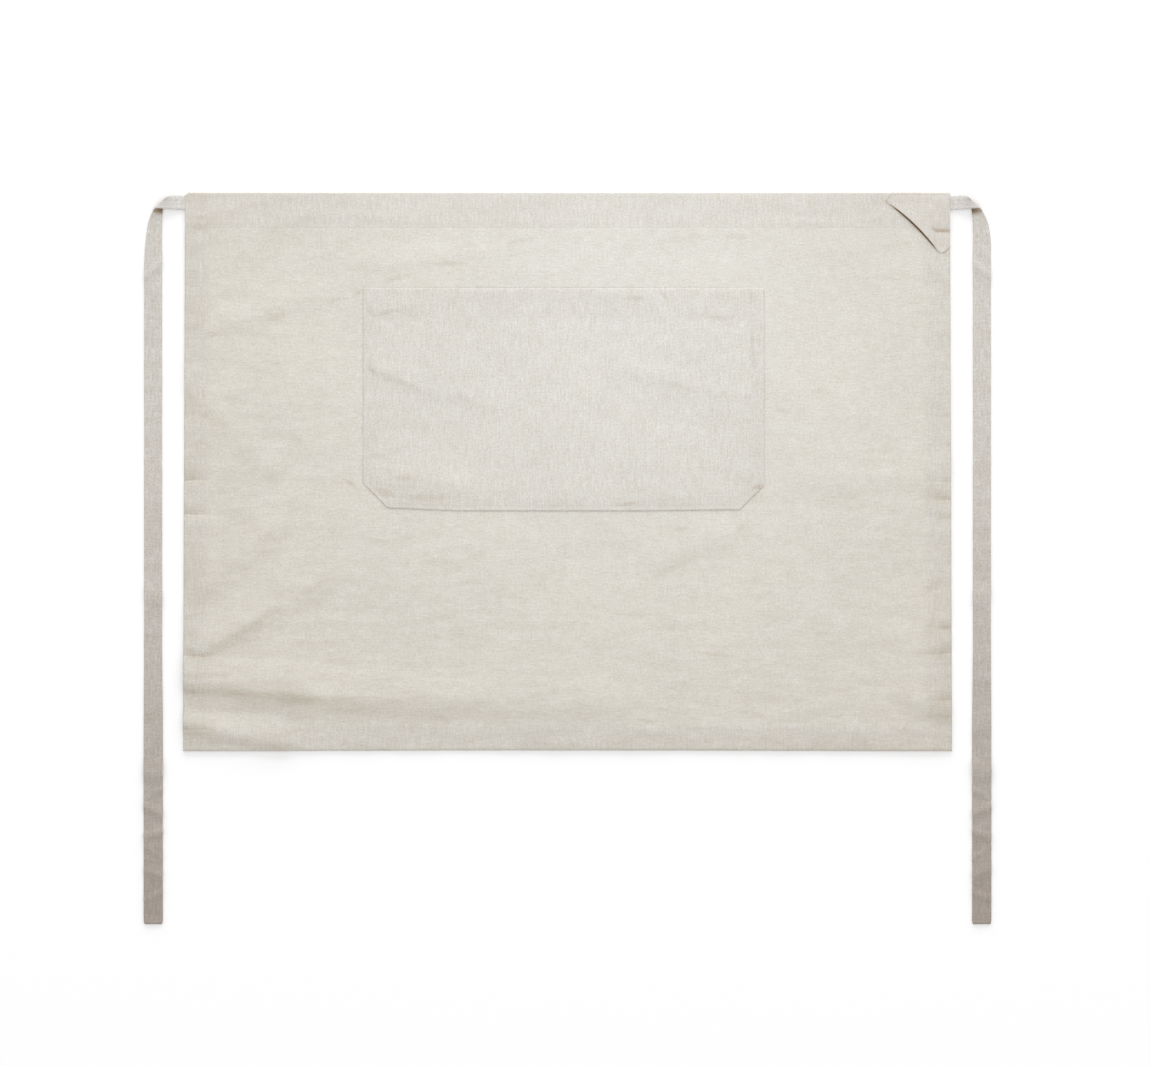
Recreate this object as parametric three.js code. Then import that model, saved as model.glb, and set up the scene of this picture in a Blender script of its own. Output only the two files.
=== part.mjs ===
import * as THREE from 'three';

// Waist apron lying flat on its back, front side up, in millimetres.
// X runs across the front, Y runs up towards the waistband, Z comes out of the cloth.
// The origin is the middle of the whole lying apron, ties included, on the surface under it.

// Outline of the apron
const apronWidth = 800;
const apronHeight = 582;
const tieReach = 762.5; // from the waistband's top edge down to the ends of the ties

// Cloth and tape
const clothWall = 1;
const tapeWall = 1.2;
const seamGap = 0.3;

// Panel hems, turned to the back and stitched
const sideHemWidth = 20;
const bottomHemWidth = 23;
const hemTurn = 0.9; // what the turned layers add to the wall
const hemSlope = 8; // run over which the cloth comes down from a hem

// Waistband, a strip folded over the panel's top edge
const bandHeight = 36.5;
const bandOverlap = 16; // how far the panel's top edge reaches up into the band
const bandSlope = 14; // run over which the panel comes down from the band

// Patch pocket with cut-off lower corners
const pocketWidth = 418;
const pocketHeight = 232;
const pocketDrop = 100; // from the waistband's top edge to the pocket's mouth
const pocketShift = -4;
const pocketCorner = 25.5;
const pocketHemWidth = 31;
const pocketFullness = 6; // how far the front stands off the panel at the mouth

// Towel loop, a doubled patch sewn across one upper corner with its slanting edge left open
const loopAlongTop = 60;
const loopAlongSide = 56;
const loopEndLength = 11.5;
const loopWall = 1.5;
const loopGape = 7;
const loopBow = 3.3; // how far the open edge is drawn back towards the corner
const loopSeamMargin = 3; // level cloth kept below the band before the loop comes down

// Ties, flat tapes that leave the band's ends, roll over once and hang down beside the panel
const tieWidth = 20;
const tieSpacing = 21.6; // bare strip between the panel's side and the hanging tie
const tieTuck = 20; // hidden end between the band's layers
const tieDrop = 2.9; // from the band's top edge to the tie's upper edge
const tieRootWidth = 15.3; // the tape is drawn a little narrower where it is caught in the band
const tieTurnDrop = 58; // from the band's top edge to where the tie lies flat again
const tieRollHeight = 6.6;
const tieCreaseRise = 2.2;

// Soft folds
const panelFoldRise = 3.4;
const panelFoldSpread = 20;
const pocketFoldRise = 1.6;
const pocketFoldSpread = 16;
const foldFade = 26; // run over which a fold dies out before a piece sewn on the panel

// Fineness of the meshed cloth
const clothStep = 17;
const tieStep = 14;
const loopSteps = { along: 16, across: 6 };
const rollStepsPerSection = 3;

// Places that follow from the sizes above
const apronTop = tieReach / 2;
const apronBottom = apronTop - apronHeight;
const apronSide = apronWidth / 2;
const bandBottom = apronTop - bandHeight;
const panelTop = bandBottom + bandOverlap;
const bandRoom = Math.max(clothWall, tapeWall) + 2 * seamGap;
const bandDepth = 2 * clothWall + bandRoom;
const panelLiftInBand = (bandDepth - clothWall) / 2;
const pocket = {
  left: pocketShift - pocketWidth / 2,
  right: pocketShift + pocketWidth / 2,
  top: apronTop - pocketDrop,
  bottom: apronTop - pocketDrop - pocketHeight,
};
const loop = {
  left: apronSide - loopAlongTop - loopEndLength,
  right: apronSide,
  top: apronTop,
  bottom: apronTop - loopAlongSide - loopEndLength,
};

// Folds of the panel: ends as shares of the apron's width from its left side and of its height from
// its top edge, rise and spread as shares of panelFoldRise and panelFoldSpread
const panelFolds = [
  { fromX: 0.01, fromY: 0.875, toX: 0.19, toY: 0.907, rise: 1, spread: 1 },
  { fromX: 0.19, fromY: 0.907, toX: 0.37, toY: 0.914, rise: 0.8, spread: 1.1 },
  { fromX: 0.37, fromY: 0.914, toX: 0.56, toY: 0.924, rise: 0.55, spread: 1.2 },
  { fromX: 0.02, fromY: 0.825, toX: 0.12, toY: 0.74, rise: 0.6, spread: 1 },
  { fromX: 0.12, fromY: 0.74, toX: 0.19, toY: 0.7, rise: 0.45, spread: 1 },
  { fromX: 0.03, fromY: 0.71, toX: 0.12, toY: 0.6, rise: 0.55, spread: 1 },
  { fromX: 0, fromY: 0.36, toX: 0.055, toY: 0.43, rise: 0.6, spread: 0.9 },
  { fromX: 0.055, fromY: 0.43, toX: 0.12, toY: 0.52, rise: 0.6, spread: 0.9 },
  { fromX: 0.02, fromY: 0.255, toX: 0.16, toY: 0.205, rise: 0.5, spread: 0.9 },
  { fromX: 0.23, fromY: 0.132, toX: 0.385, toY: 0.108, rise: 0.5, spread: 0.8 },
  { fromX: 0.83, fromY: 0.53, toX: 0.99, toY: 0.515, rise: 0.55, spread: 0.9 },
  { fromX: 0.62, fromY: 0.665, toX: 0.7, toY: 0.62, rise: 0.5, spread: 1 },
  { fromX: 0, fromY: 0.965, toX: 0.13, toY: 0.995, rise: 0.6, spread: 0.7 },
  { fromX: 0.93, fromY: 0.91, toX: 1, toY: 0.945, rise: 0.5, spread: 0.8 },
];

// Creases of the pocket front: ends as shares of the pocket's width from its left side and of its
// height from its mouth, rise and spread as shares of pocketFoldRise and pocketFoldSpread
const pocketFolds = [
  { fromX: 0.02, fromY: 0.37, toX: 0.12, toY: 0.44, rise: 0.9, spread: 0.8 },
  { fromX: 0.12, fromY: 0.44, toX: 0.33, toY: 0.57, rise: 0.7, spread: 1 },
  { fromX: 0.67, fromY: 0.38, toX: 0.82, toY: 0.49, rise: 0.7, spread: 1 },
  { fromX: 0.02, fromY: 0.83, toX: 0.24, toY: 0.93, rise: 1, spread: 1.1 },
];

// The roll of a tie beside the band's end, section by section. Both edges of the tape are placed by
// their distance out from the band's end, as a share of the hanging tie's outer edge, and by their
// drop from the band's top edge, as a share of tieTurnDrop. The height is a share of tieRollHeight,
// and the turn, in degrees, says how far the tape has rolled over.
const tieRoll = [
  { innerOut: 0.19, innerDrop: 0.054, outerOut: 0.29, outerDrop: 0.307, height: 0.42, turn: 0 },
  { innerOut: 0.29, innerDrop: 0.06, outerOut: 0.51, outerDrop: 0.291, height: 0.7, turn: 5 },
  { innerOut: 0.363, innerDrop: 0.072, outerOut: 0.69, outerDrop: 0.293, height: 1, turn: 35 },
  { innerOut: 0.39, innerDrop: 0.097, outerOut: 0.776, outerDrop: 0.324, height: 0.79, turn: 90 },
  { innerOut: 0.399, innerDrop: 0.172, outerOut: 0.805, outerDrop: 0.372, height: 0.42, turn: 150 },
  { innerOut: 0.476, innerDrop: 0.297, outerOut: 0.841, outerDrop: 0.45, height: 0.2, turn: 176 },
  { innerOut: 0.534, innerDrop: 0.405, outerOut: 0.885, outerDrop: 0.531, height: 0.12, turn: 180 },
  { innerOut: 0.535, innerDrop: 0.63, outerOut: 0.952, outerDrop: 0.71, height: 0, turn: 180 },
];

// Cross creases of a hanging tie: place as a share of tieReach, rise as a share of tieCreaseRise,
// spread as a share of the tape's width
const tieCreases = [
  { at: 0.107, rise: 0.5, spread: 0.6 },
  { at: 0.553, rise: 0.6, spread: 0.7 },
  { at: 0.792, rise: 1, spread: 0.8 },
  { at: 0.845, rise: 0.7, spread: 0.45 },
  { at: 0.878, rise: 0.6, spread: 0.4 },
];

// Materials
function linen(colour) {
  return new THREE.MeshStandardMaterial({ color: colour, roughness: 0.92, metalness: 0 });
}
const panelLinen = linen(0xdcd8ce);
const bandLinen = linen(0xdfdbd2);
const pocketLinen = linen(0xddd9d1);
const loopLinen = linen(0xddd8ce);
const tapeLinen = linen(0xc9c1b7);

// Splits the stretches between named marks into steps of about the given length
function stops(marks, step) {
  const ordered = [...marks].sort((a, b) => a - b);
  const result = [ordered[0]];
  for (let k = 1; k < ordered.length; k += 1) {
    const start = ordered[k - 1];
    const span = ordered[k] - start;
    const parts = Math.ceil(span / step);
    for (let part = 1; part <= parts; part += 1) {
      result.push(start + (span * part) / parts);
    }
  }
  return result;
}

// Volume enclosed by an indexed mesh, negative where it is inside out
function enclosedVolume(positions, indices) {
  const a = new THREE.Vector3();
  const b = new THREE.Vector3();
  const c = new THREE.Vector3();
  let volume = 0;
  for (let k = 0; k < indices.length; k += 3) {
    a.fromArray(positions, 3 * indices[k]);
    b.fromArray(positions, 3 * indices[k + 1]);
    c.fromArray(positions, 3 * indices[k + 2]);
    volume += a.dot(b.cross(c)) / 6;
  }
  return volume;
}

// A closed wall of cloth between an upper and a lower grid of points, with a rim all round
function clothSolid(columns, rows, upperPoint, lowerPoint) {
  const positions = [];
  for (const point of [upperPoint, lowerPoint]) {
    for (let j = 0; j < rows; j += 1) {
      for (let i = 0; i < columns; i += 1) {
        positions.push(...point(i, j).toArray());
      }
    }
  }
  const upper = (i, j) => j * columns + i;
  const lower = (i, j) => columns * rows + j * columns + i;
  const indices = [];
  const quad = (a, b, c, d) => indices.push(a, b, c, a, c, d);
  for (let j = 0; j < rows - 1; j += 1) {
    for (let i = 0; i < columns - 1; i += 1) {
      quad(upper(i, j), upper(i + 1, j), upper(i + 1, j + 1), upper(i, j + 1));
      quad(lower(i, j), lower(i, j + 1), lower(i + 1, j + 1), lower(i + 1, j));
    }
  }
  const lastRow = rows - 1;
  for (let i = 0; i < columns - 1; i += 1) {
    quad(upper(i + 1, 0), upper(i, 0), lower(i, 0), lower(i + 1, 0));
    quad(upper(i, lastRow), upper(i + 1, lastRow), lower(i + 1, lastRow), lower(i, lastRow));
  }
  const lastColumn = columns - 1;
  for (let j = 0; j < rows - 1; j += 1) {
    quad(upper(0, j), upper(0, j + 1), lower(0, j + 1), lower(0, j));
    quad(upper(lastColumn, j + 1), upper(lastColumn, j), lower(lastColumn, j), lower(lastColumn, j + 1));
  }
  if (enclosedVolume(positions, indices) < 0) {
    indices.reverse();
  }
  const geometry = new THREE.BufferGeometry();
  geometry.setAttribute('position', new THREE.Float32BufferAttribute(positions, 3));
  geometry.setIndex(indices);
  geometry.computeVertexNormals();
  return geometry;
}

// Height of soft folds at a point given as shares of the piece they lie on, the highest one counting
function foldHeight(folds, place, size, rise, spread) {
  let height = 0;
  for (const fold of folds) {
    const from = new THREE.Vector2(fold.fromX * size.x, fold.fromY * size.y);
    const along = new THREE.Vector2(fold.toX * size.x, fold.toY * size.y).sub(from);
    const offset = new THREE.Vector2(place.x * size.x, place.y * size.y).sub(from);
    const share = THREE.MathUtils.clamp(offset.dot(along) / along.lengthSq(), 0, 1);
    const distance = offset.addScaledVector(along, -share).length();
    const ridge = rise * fold.rise * Math.exp(-((distance / (spread * fold.spread)) ** 2));
    height = Math.max(height, ridge);
  }
  return height;
}

// Distance from a point to a piece's rectangle, zero inside it
function distanceTo(zone, x, y) {
  const outX = Math.max(zone.left - x, 0, x - zone.right);
  const outY = Math.max(zone.bottom - y, 0, y - zone.top);
  return Math.hypot(outX, outY);
}

// The panel: one sheet of cloth with hemmed sides and bottom, its top edge inside the band
const bandZone = { left: -apronSide, right: apronSide, top: apronTop, bottom: bandBottom };

function bandShare(y, margin = 0) {
  return THREE.MathUtils.smoothstep(y, bandBottom - margin - bandSlope, bandBottom - margin);
}

function hemShare(x, y) {
  const side = apronSide - sideHemWidth - Math.abs(x);
  const foot = y - apronBottom - bottomHemWidth;
  return 1 - THREE.MathUtils.smoothstep(Math.min(side, foot), 0, hemSlope);
}

function panelUnderside(x, y) {
  let height = foldHeight(
    panelFolds,
    new THREE.Vector2((x + apronSide) / apronWidth, (apronTop - y) / apronHeight),
    new THREE.Vector2(apronWidth, apronHeight),
    panelFoldRise,
    panelFoldSpread,
  );
  for (const zone of [bandZone, pocket, loop]) {
    height *= THREE.MathUtils.smoothstep(distanceTo(zone, x, y), 0, foldFade);
  }
  return height + panelLiftInBand * bandShare(y);
}

function panelWall(x, y) {
  return clothWall + hemTurn * hemShare(x, y) * (1 - bandShare(y));
}

function makePanel() {
  const hemInner = apronSide - sideHemWidth;
  const acrossMarks = [
    -apronSide,
    -hemInner,
    -hemInner + hemSlope,
    pocket.left,
    pocket.right,
    loop.left,
    hemInner - hemSlope,
    hemInner,
    apronSide,
  ];
  const upMarks = [
    apronBottom,
    apronBottom + bottomHemWidth,
    apronBottom + bottomHemWidth + hemSlope,
    pocket.bottom,
    pocket.top,
    loop.bottom,
    bandBottom - bandSlope,
    bandBottom,
    panelTop,
  ];
  const across = stops(acrossMarks, clothStep);
  const up = stops(upMarks, clothStep);
  const lower = (i, j) => new THREE.Vector3(across[i], up[j], panelUnderside(across[i], up[j]));
  const upper = (i, j) => lower(i, j).add(new THREE.Vector3(0, 0, panelWall(across[i], up[j])));
  return clothSolid(across.length, up.length, upper, lower);
}

// The waistband: a strip folded lengthwise, open along its lower edge and at its two ends
function makeBand() {
  const fold = bandDepth / 2;
  const innerFold = bandRoom / 2;
  const foldY = apronTop - fold;
  const section = new THREE.Shape();
  section.moveTo(bandBottom, 0);
  section.lineTo(foldY, 0);
  section.absarc(foldY, fold, fold, -Math.PI / 2, Math.PI / 2, false);
  section.lineTo(bandBottom, bandDepth);
  section.lineTo(bandBottom, bandDepth - clothWall);
  section.lineTo(foldY, bandDepth - clothWall);
  section.absarc(foldY, fold, innerFold, Math.PI / 2, -Math.PI / 2, true);
  section.lineTo(bandBottom, clothWall);
  section.closePath();
  const strip = new THREE.ExtrudeGeometry(section, {
    depth: apronWidth,
    curveSegments: 8,
    bevelEnabled: false,
  });
  // The section is drawn as Y and Z and extruded along Z, so its axes are cycled into place
  const turn = new THREE.Matrix4().makeBasis(
    new THREE.Vector3(0, 1, 0),
    new THREE.Vector3(0, 0, 1),
    new THREE.Vector3(1, 0, 0),
  );
  strip.applyMatrix4(turn);
  strip.translate(-apronSide, 0, 0);
  return strip;
}

// The pocket: sewn down at its sides and lower edge, standing off the panel at its open mouth
function makePocket() {
  const cornerLeft = pocket.left + pocketCorner;
  const cornerRight = pocket.right - pocketCorner;
  const across = stops([pocket.left, cornerLeft, cornerRight, pocket.right], clothStep);
  const down = stops([0, pocketHemWidth, pocketHemWidth + hemSlope, pocketHeight], clothStep);
  const footY = (x) => pocket.bottom + Math.max(cornerLeft - x, x - cornerRight, 0);
  const placeAt = (i, j) => {
    const share = down[j] / pocketHeight;
    return new THREE.Vector2(across[i], THREE.MathUtils.lerp(pocket.top, footY(across[i]), share));
  };
  const underside = (x, y) => {
    const acrossShare = (x - pocketShift) / (pocketWidth / 2);
    const downShare = (pocket.top - y) / (pocket.top - footY(x));
    const standOff = (1 - acrossShare ** 4) * (1 - downShare ** 2);
    const crease = foldHeight(
      pocketFolds,
      new THREE.Vector2((acrossShare + 1) / 2, (pocket.top - y) / pocketHeight),
      new THREE.Vector2(pocketWidth, pocketHeight),
      pocketFoldRise,
      pocketFoldSpread,
    );
    const held = (1 - acrossShare ** 8) * (1 - downShare ** 8);
    return clothWall + seamGap + pocketFullness * standOff + crease * held;
  };
  const wall = (y) => {
    const belowHem = pocket.top - pocketHemWidth - y;
    return clothWall + hemTurn * (1 - THREE.MathUtils.smoothstep(belowHem, 0, hemSlope));
  };
  const lower = (i, j) => {
    const { x, y } = placeAt(i, j);
    return new THREE.Vector3(x, y, underside(x, y));
  };
  const upper = (i, j) => lower(i, j).add(new THREE.Vector3(0, 0, wall(placeAt(i, j).y)));
  return clothSolid(across.length, down.length, upper, lower);
}

// The towel loop: sewn to the band and the side hem round the corner, its slanting edge gaping
function makeLoop() {
  const outward = new THREE.Vector2(-1, -1).normalize();
  const topEnd = new THREE.Vector2(apronSide - loopAlongTop, apronTop);
  const corner = new THREE.Vector2(apronSide, apronTop);
  const sideEnd = new THREE.Vector2(apronSide, apronTop - loopAlongSide);
  const openTop = topEnd.clone().addScaledVector(outward, loopEndLength);
  const openSide = sideEnd.clone().addScaledVector(outward, loopEndLength);
  const sewnPoint = (t) => {
    if (t < 0.5) {
      return topEnd.clone().lerp(corner, 2 * t);
    }
    return corner.clone().lerp(sideEnd, 2 * t - 1);
  };
  const openPoint = (t) => {
    const bow = loopBow * Math.sin(Math.PI * t) ** 2;
    return openTop.clone().lerp(openSide, t).addScaledVector(outward, -bow);
  };
  const underside = (x, y, t, s) => {
    const onPanel = clothWall + hemTurn;
    const seat = THREE.MathUtils.lerp(onPanel, bandDepth, bandShare(y, loopSeamMargin)) + seamGap;
    return seat + loopGape * Math.sin(Math.PI * t) ** 1.5 * s ** 1.5;
  };
  const lower = (i, j) => {
    const t = i / loopSteps.along;
    const s = j / loopSteps.across;
    const { x, y } = sewnPoint(t).lerp(openPoint(t), s);
    return new THREE.Vector3(x, y, underside(x, y, t, s));
  };
  const upper = (i, j) => lower(i, j).add(new THREE.Vector3(0, 0, loopWall));
  return clothSolid(loopSteps.along + 1, loopSteps.across + 1, upper, lower);
}

// One section of a tie: its two edges, and how far the tape has rolled over about its own line
function tieSection(side, inner, outer, height, turn) {
  return {
    inner: new THREE.Vector3(side * (apronSide + inner.out), apronTop - inner.drop, height),
    outer: new THREE.Vector3(side * (apronSide + outer.out), apronTop - outer.drop, height),
    turn: new THREE.Vector3(THREE.MathUtils.degToRad(turn), 0, 0),
  };
}

// A tie: caught in the band's end, rolled over once beside it, then hanging straight down
function makeTie(side) {
  const reachOut = tieSpacing + tieWidth;
  const layFlat = tapeWall / 2;
  const rootHeight = bandDepth / 2;
  const rootSection = (out) => {
    const upperEdge = { out, drop: tieDrop };
    const lowerEdge = { out, drop: tieDrop + tieRootWidth };
    return tieSection(side, upperEdge, lowerEdge, rootHeight, 0);
  };
  const flatSection = (drop) => {
    let height = layFlat;
    for (const crease of tieCreases) {
      const distance = (drop - crease.at * tieReach) / (crease.spread * tieWidth);
      height += tieCreaseRise * crease.rise * Math.exp(-(distance ** 2));
    }
    return tieSection(side, { out: tieSpacing, drop }, { out: reachOut, drop }, height, 180);
  };
  const rollSections = tieRoll.map((row) => tieSection(
    side,
    { out: row.innerOut * reachOut, drop: row.innerDrop * tieTurnDrop },
    { out: row.outerOut * reachOut, drop: row.outerDrop * tieTurnDrop },
    Math.max(layFlat, row.height * tieRollHeight),
    row.turn,
  ));

  // The roll runs on smooth curves through its sections, from the band's end to the flat tape
  const guide = [rootSection(0), ...rollSections, flatSection(tieTurnDrop)];
  const innerCurve = new THREE.CatmullRomCurve3(guide.map((section) => section.inner));
  const outerCurve = new THREE.CatmullRomCurve3(guide.map((section) => section.outer));
  const turnCurve = new THREE.CatmullRomCurve3(guide.map((section) => section.turn));
  const rollSteps = rollStepsPerSection * (guide.length - 1);
  const sections = [rootSection(-tieTuck)];
  for (let k = 0; k <= rollSteps; k += 1) {
    sections.push({
      inner: innerCurve.getPoint(k / rollSteps),
      outer: outerCurve.getPoint(k / rollSteps),
      turn: turnCurve.getPoint(k / rollSteps),
    });
  }
  for (const drop of stops([tieTurnDrop, tieReach], tieStep).slice(1)) {
    sections.push(flatSection(drop));
  }

  // The tape's own thickness turns over with it, about the line between its edges
  const up = new THREE.Vector3(0, 0, 1);
  const facing = ({ inner, outer, turn }) => {
    const width = outer.clone().sub(inner).setZ(0).normalize();
    const outward = new THREE.Vector3().crossVectors(width, up).multiplyScalar(-side);
    const angle = THREE.MathUtils.clamp(turn.x, 0, Math.PI);
    return up.clone().multiplyScalar(Math.cos(angle)).addScaledVector(outward, Math.sin(angle));
  };
  const face = (direction) => (i, j) => {
    const section = sections[j];
    const point = section.inner.clone().lerp(section.outer, i / 2);
    const level = Math.max(point.z, layFlat);
    return point.setZ(level).addScaledVector(facing(section), (direction * tapeWall) / 2);
  };
  return clothSolid(3, sections.length, face(1), face(-1));
}

// The assembled apron
const apron = new THREE.Group();

function addPiece(name, geometry, material) {
  const piece = new THREE.Mesh(geometry, material);
  piece.name = name;
  apron.add(piece);
}

addPiece('apron_panel', makePanel(), panelLinen);
addPiece('waistband', makeBand(), bandLinen);
addPiece('pocket', makePocket(), pocketLinen);
addPiece('towel_loop', makeLoop(), loopLinen);
addPiece('tie_right', makeTie(1), tapeLinen);
addPiece('tie_left', makeTie(-1), tapeLinen);

export default apron;
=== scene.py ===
import math
import bpy
import bmesh
from mathutils import Matrix, Vector, noise


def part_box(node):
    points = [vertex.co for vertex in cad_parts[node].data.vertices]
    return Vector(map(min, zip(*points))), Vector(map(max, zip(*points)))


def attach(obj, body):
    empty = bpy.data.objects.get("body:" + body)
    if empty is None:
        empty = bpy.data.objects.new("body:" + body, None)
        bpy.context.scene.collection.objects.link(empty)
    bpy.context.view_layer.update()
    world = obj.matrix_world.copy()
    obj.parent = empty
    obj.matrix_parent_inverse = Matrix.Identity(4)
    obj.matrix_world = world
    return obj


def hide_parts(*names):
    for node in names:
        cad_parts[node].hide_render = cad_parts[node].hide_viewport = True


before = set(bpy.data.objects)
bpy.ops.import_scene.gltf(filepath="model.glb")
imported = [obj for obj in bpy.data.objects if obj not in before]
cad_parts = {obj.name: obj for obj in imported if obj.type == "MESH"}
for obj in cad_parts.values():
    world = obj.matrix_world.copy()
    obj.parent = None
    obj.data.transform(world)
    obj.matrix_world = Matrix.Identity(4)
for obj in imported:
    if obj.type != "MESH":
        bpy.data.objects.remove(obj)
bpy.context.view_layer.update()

# The view: the apron lies flat and is seen from straight above, with the picture's middle a
# little to the right of the apron's own middle and above it.
photo_width = 1150
photo_height = 1066
metres_per_pixel = 0.0010424
apron_middle_px = (567.5, 558.25)
camera_lens_mm = 110.0
camera_sensor_mm = 36.0

camera_data = bpy.data.cameras.new("view_from_above")
camera_data.lens = camera_lens_mm
camera_data.sensor_width = camera_sensor_mm
camera_data.clip_end = 50.0
camera = bpy.data.objects.new("view_from_above", camera_data)
camera.location = (
    (photo_width / 2 - apron_middle_px[0]) * metres_per_pixel,
    (apron_middle_px[1] - photo_height / 2) * metres_per_pixel,
    photo_width * metres_per_pixel * camera_lens_mm / camera_sensor_mm,
)
bpy.context.collection.objects.link(camera)
scene = bpy.context.scene
scene.camera = camera
scene.view_settings.view_transform = "Standard"

# The studio: a plain white floor under even white light, and one long low soft light beyond the
# waistband, which puts a soft shadow below every edge and shows the folds.
floor_colour = (0.97, 0.97, 0.97, 1.0)
floor_size = 16.0
ambient_strength = 0.905
key_power = 195.0
key_width = 8.0
key_height = 1.45
key_place = (0.2, 4.2, 0.98)


def new_piece(name, mesh):
    """Makes an object of a finished bmesh, at the origin."""
    data = bpy.data.meshes.new(name)
    mesh.to_mesh(data)
    mesh.free()
    piece = bpy.data.objects.new(name, data)
    bpy.context.collection.objects.link(piece)
    return piece


def set_inputs(node, values):
    for name, value in values.items():
        node.inputs[name].default_value = value


floor_mesh = bmesh.new()
bmesh.ops.create_grid(floor_mesh, x_segments=1, y_segments=1, size=floor_size / 2)
floor = new_piece("studio_floor", floor_mesh)
floor_paint = bpy.data.materials.new("floor_white")
floor_paint.use_nodes = True
set_inputs(floor_paint.node_tree.nodes["Principled BSDF"],
           {"Base Color": floor_colour, "Roughness": 0.9, "Specular IOR Level": 0.0})
floor.data.materials.append(floor_paint)

world = bpy.data.worlds.new("studio_white")
world.use_nodes = True
set_inputs(world.node_tree.nodes["Background"],
           {"Color": (1.0, 1.0, 1.0, 1.0), "Strength": ambient_strength})
scene.world = world

key_data = bpy.data.lights.new("long_low_light", "AREA")
key_data.shape = "RECTANGLE"
key_data.size = key_width
key_data.size_y = key_height
key_data.energy = key_power
key = bpy.data.objects.new("long_low_light", key_data)
key.location = key_place
key.rotation_euler = Vector((0.0, -1.0, 0.0)).to_track_quat("-Z", "Y").to_euler()
bpy.context.collection.objects.link(key)

# The linen: a plain weave of uneven flax yarns, washed soft. One node group gives the weave and its
# slubs, one where a hard crease's line lies, painted brown as its shade, and one the colour of the
# cloth.
yarn_pitch = 0.0006
light_pool_middle = (0.06, 0.30, 0.0)
light_falloff_tint = (0.895, 0.872, 0.845, 1.0)
painted_shade_powers = (0.50, 0.65, 0.85)
crease_softness = 1.5
crease_dip = 0.00002
yarn_height = 0.00014
linen_surface = {"Roughness": 0.9, "Specular IOR Level": 0.25, "Sheen Weight": 0.10,
                 "Sheen Roughness": 0.5}


def node_chain(tree):
    """Returns a function that adds a node, fills its inputs in order and returns one output."""

    def add(kind, *inputs, out=0, **settings):
        node = tree.nodes.new("ShaderNode" + kind)
        for name, value in settings.items():
            setattr(node, name, value)
        for place, value in enumerate(inputs):
            if value is None:
                continue
            if isinstance(value, bpy.types.NodeSocket):
                tree.links.new(value, node.inputs[place])
            else:
                node.inputs[place].default_value = value
        return node.outputs[out]

    return add


def mix_colour(add, share, first, second, blend="MIX"):
    return add("Mix", share, None, None, None, None, None, first, second,
               out=2, data_type="RGBA", blend_type=blend)


def new_group(name, inputs, outputs):
    """A node group with the given sockets: its tree, what adds nodes to it, and both its ends."""
    tree = bpy.data.node_groups.new(name, "ShaderNodeTree")
    for in_out, sockets in (("INPUT", inputs), ("OUTPUT", outputs)):
        for socket, kind in sockets.items():
            tree.interface.new_socket(socket, in_out=in_out, socket_type="NodeSocket" + kind)
    given = tree.nodes.new("NodeGroupInput").outputs[:len(inputs)]
    return tree, node_chain(tree), given, tree.nodes.new("NodeGroupOutput").inputs


def weave_group():
    """Shade and height of a plain weave, from a place on the cloth in metres."""
    tree, add, given, result = new_group(
        "linen_weave",
        {"Cloth place": "Vector", "Pitch": "Float", "Speckle": "Float", "Warp slubs": "Float",
         "Weft slubs": "Float"},
        {"Shade": "Float", "Height": "Float"})
    place, pitch, speckle_amount, warp_amount, weft_amount = given
    split = add("SeparateXYZ", place).node

    def math_node(operation, *inputs):
        return add("Math", *inputs, operation=operation)

    # Each yarn is a rounded ridge, and the product of both waves says which lies on top
    turns = math_node("DIVIDE", math.pi, pitch)
    warp_wave = math_node("SINE", math_node("MULTIPLY", split.outputs[0], turns))
    weft_wave = math_node("SINE", math_node("MULTIPLY", split.outputs[1], turns))
    warp_share = math_node("MULTIPLY_ADD", math_node("MULTIPLY", warp_wave, weft_wave), 0.5, 0.5)
    weft_share = math_node("SUBTRACT", 1.0, warp_share)
    warp_ridge = math_node("MULTIPLY", math_node("ABSOLUTE", warp_wave), warp_share)
    weft_ridge = math_node("MULTIPLY", math_node("ABSOLUTE", weft_wave), weft_share)
    threads = math_node("ADD", warp_ridge, weft_ridge)

    # Slubs are thick and thin stretches of yarn, a yarn or two wide and a finger's width long
    def slubs(along_x, along_y, shift, detail):
        stretched = add("VectorMath", place, (along_x, along_y, 1.0), (shift,) * 3,
                        operation="MULTIPLY_ADD")
        wide = add("TexNoise", stretched, None, 1.0, detail, 0.6,
                   noise_dimensions="2D")
        return math_node("SUBTRACT", wide, 0.5)

    speckle = math_node("MULTIPLY", slubs(430.0, 560.0, 7.7, 1.0), speckle_amount)
    warp_slub = math_node("MULTIPLY", slubs(700.0, 55.0, 3.1, 2.0), warp_amount)
    weft_slub = math_node("MULTIPLY", slubs(90.0, 620.0, 11.7, 2.0), weft_amount)
    uneven = math_node("ADD", speckle, math_node("ADD", warp_slub, weft_slub))
    # The yarns' crowns are painted a little lighter than the gaps between them, as painted shade of the
    # weave
    fine = math_node("MULTIPLY_ADD", threads, 0.08, 0.96)
    shade = math_node("ADD", fine, uneven)
    height = math_node("MULTIPLY", math_node("ADD", threads, uneven), yarn_height)
    tree.links.new(shade, result["Shade"])
    tree.links.new(height, result["Height"])
    return tree


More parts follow.
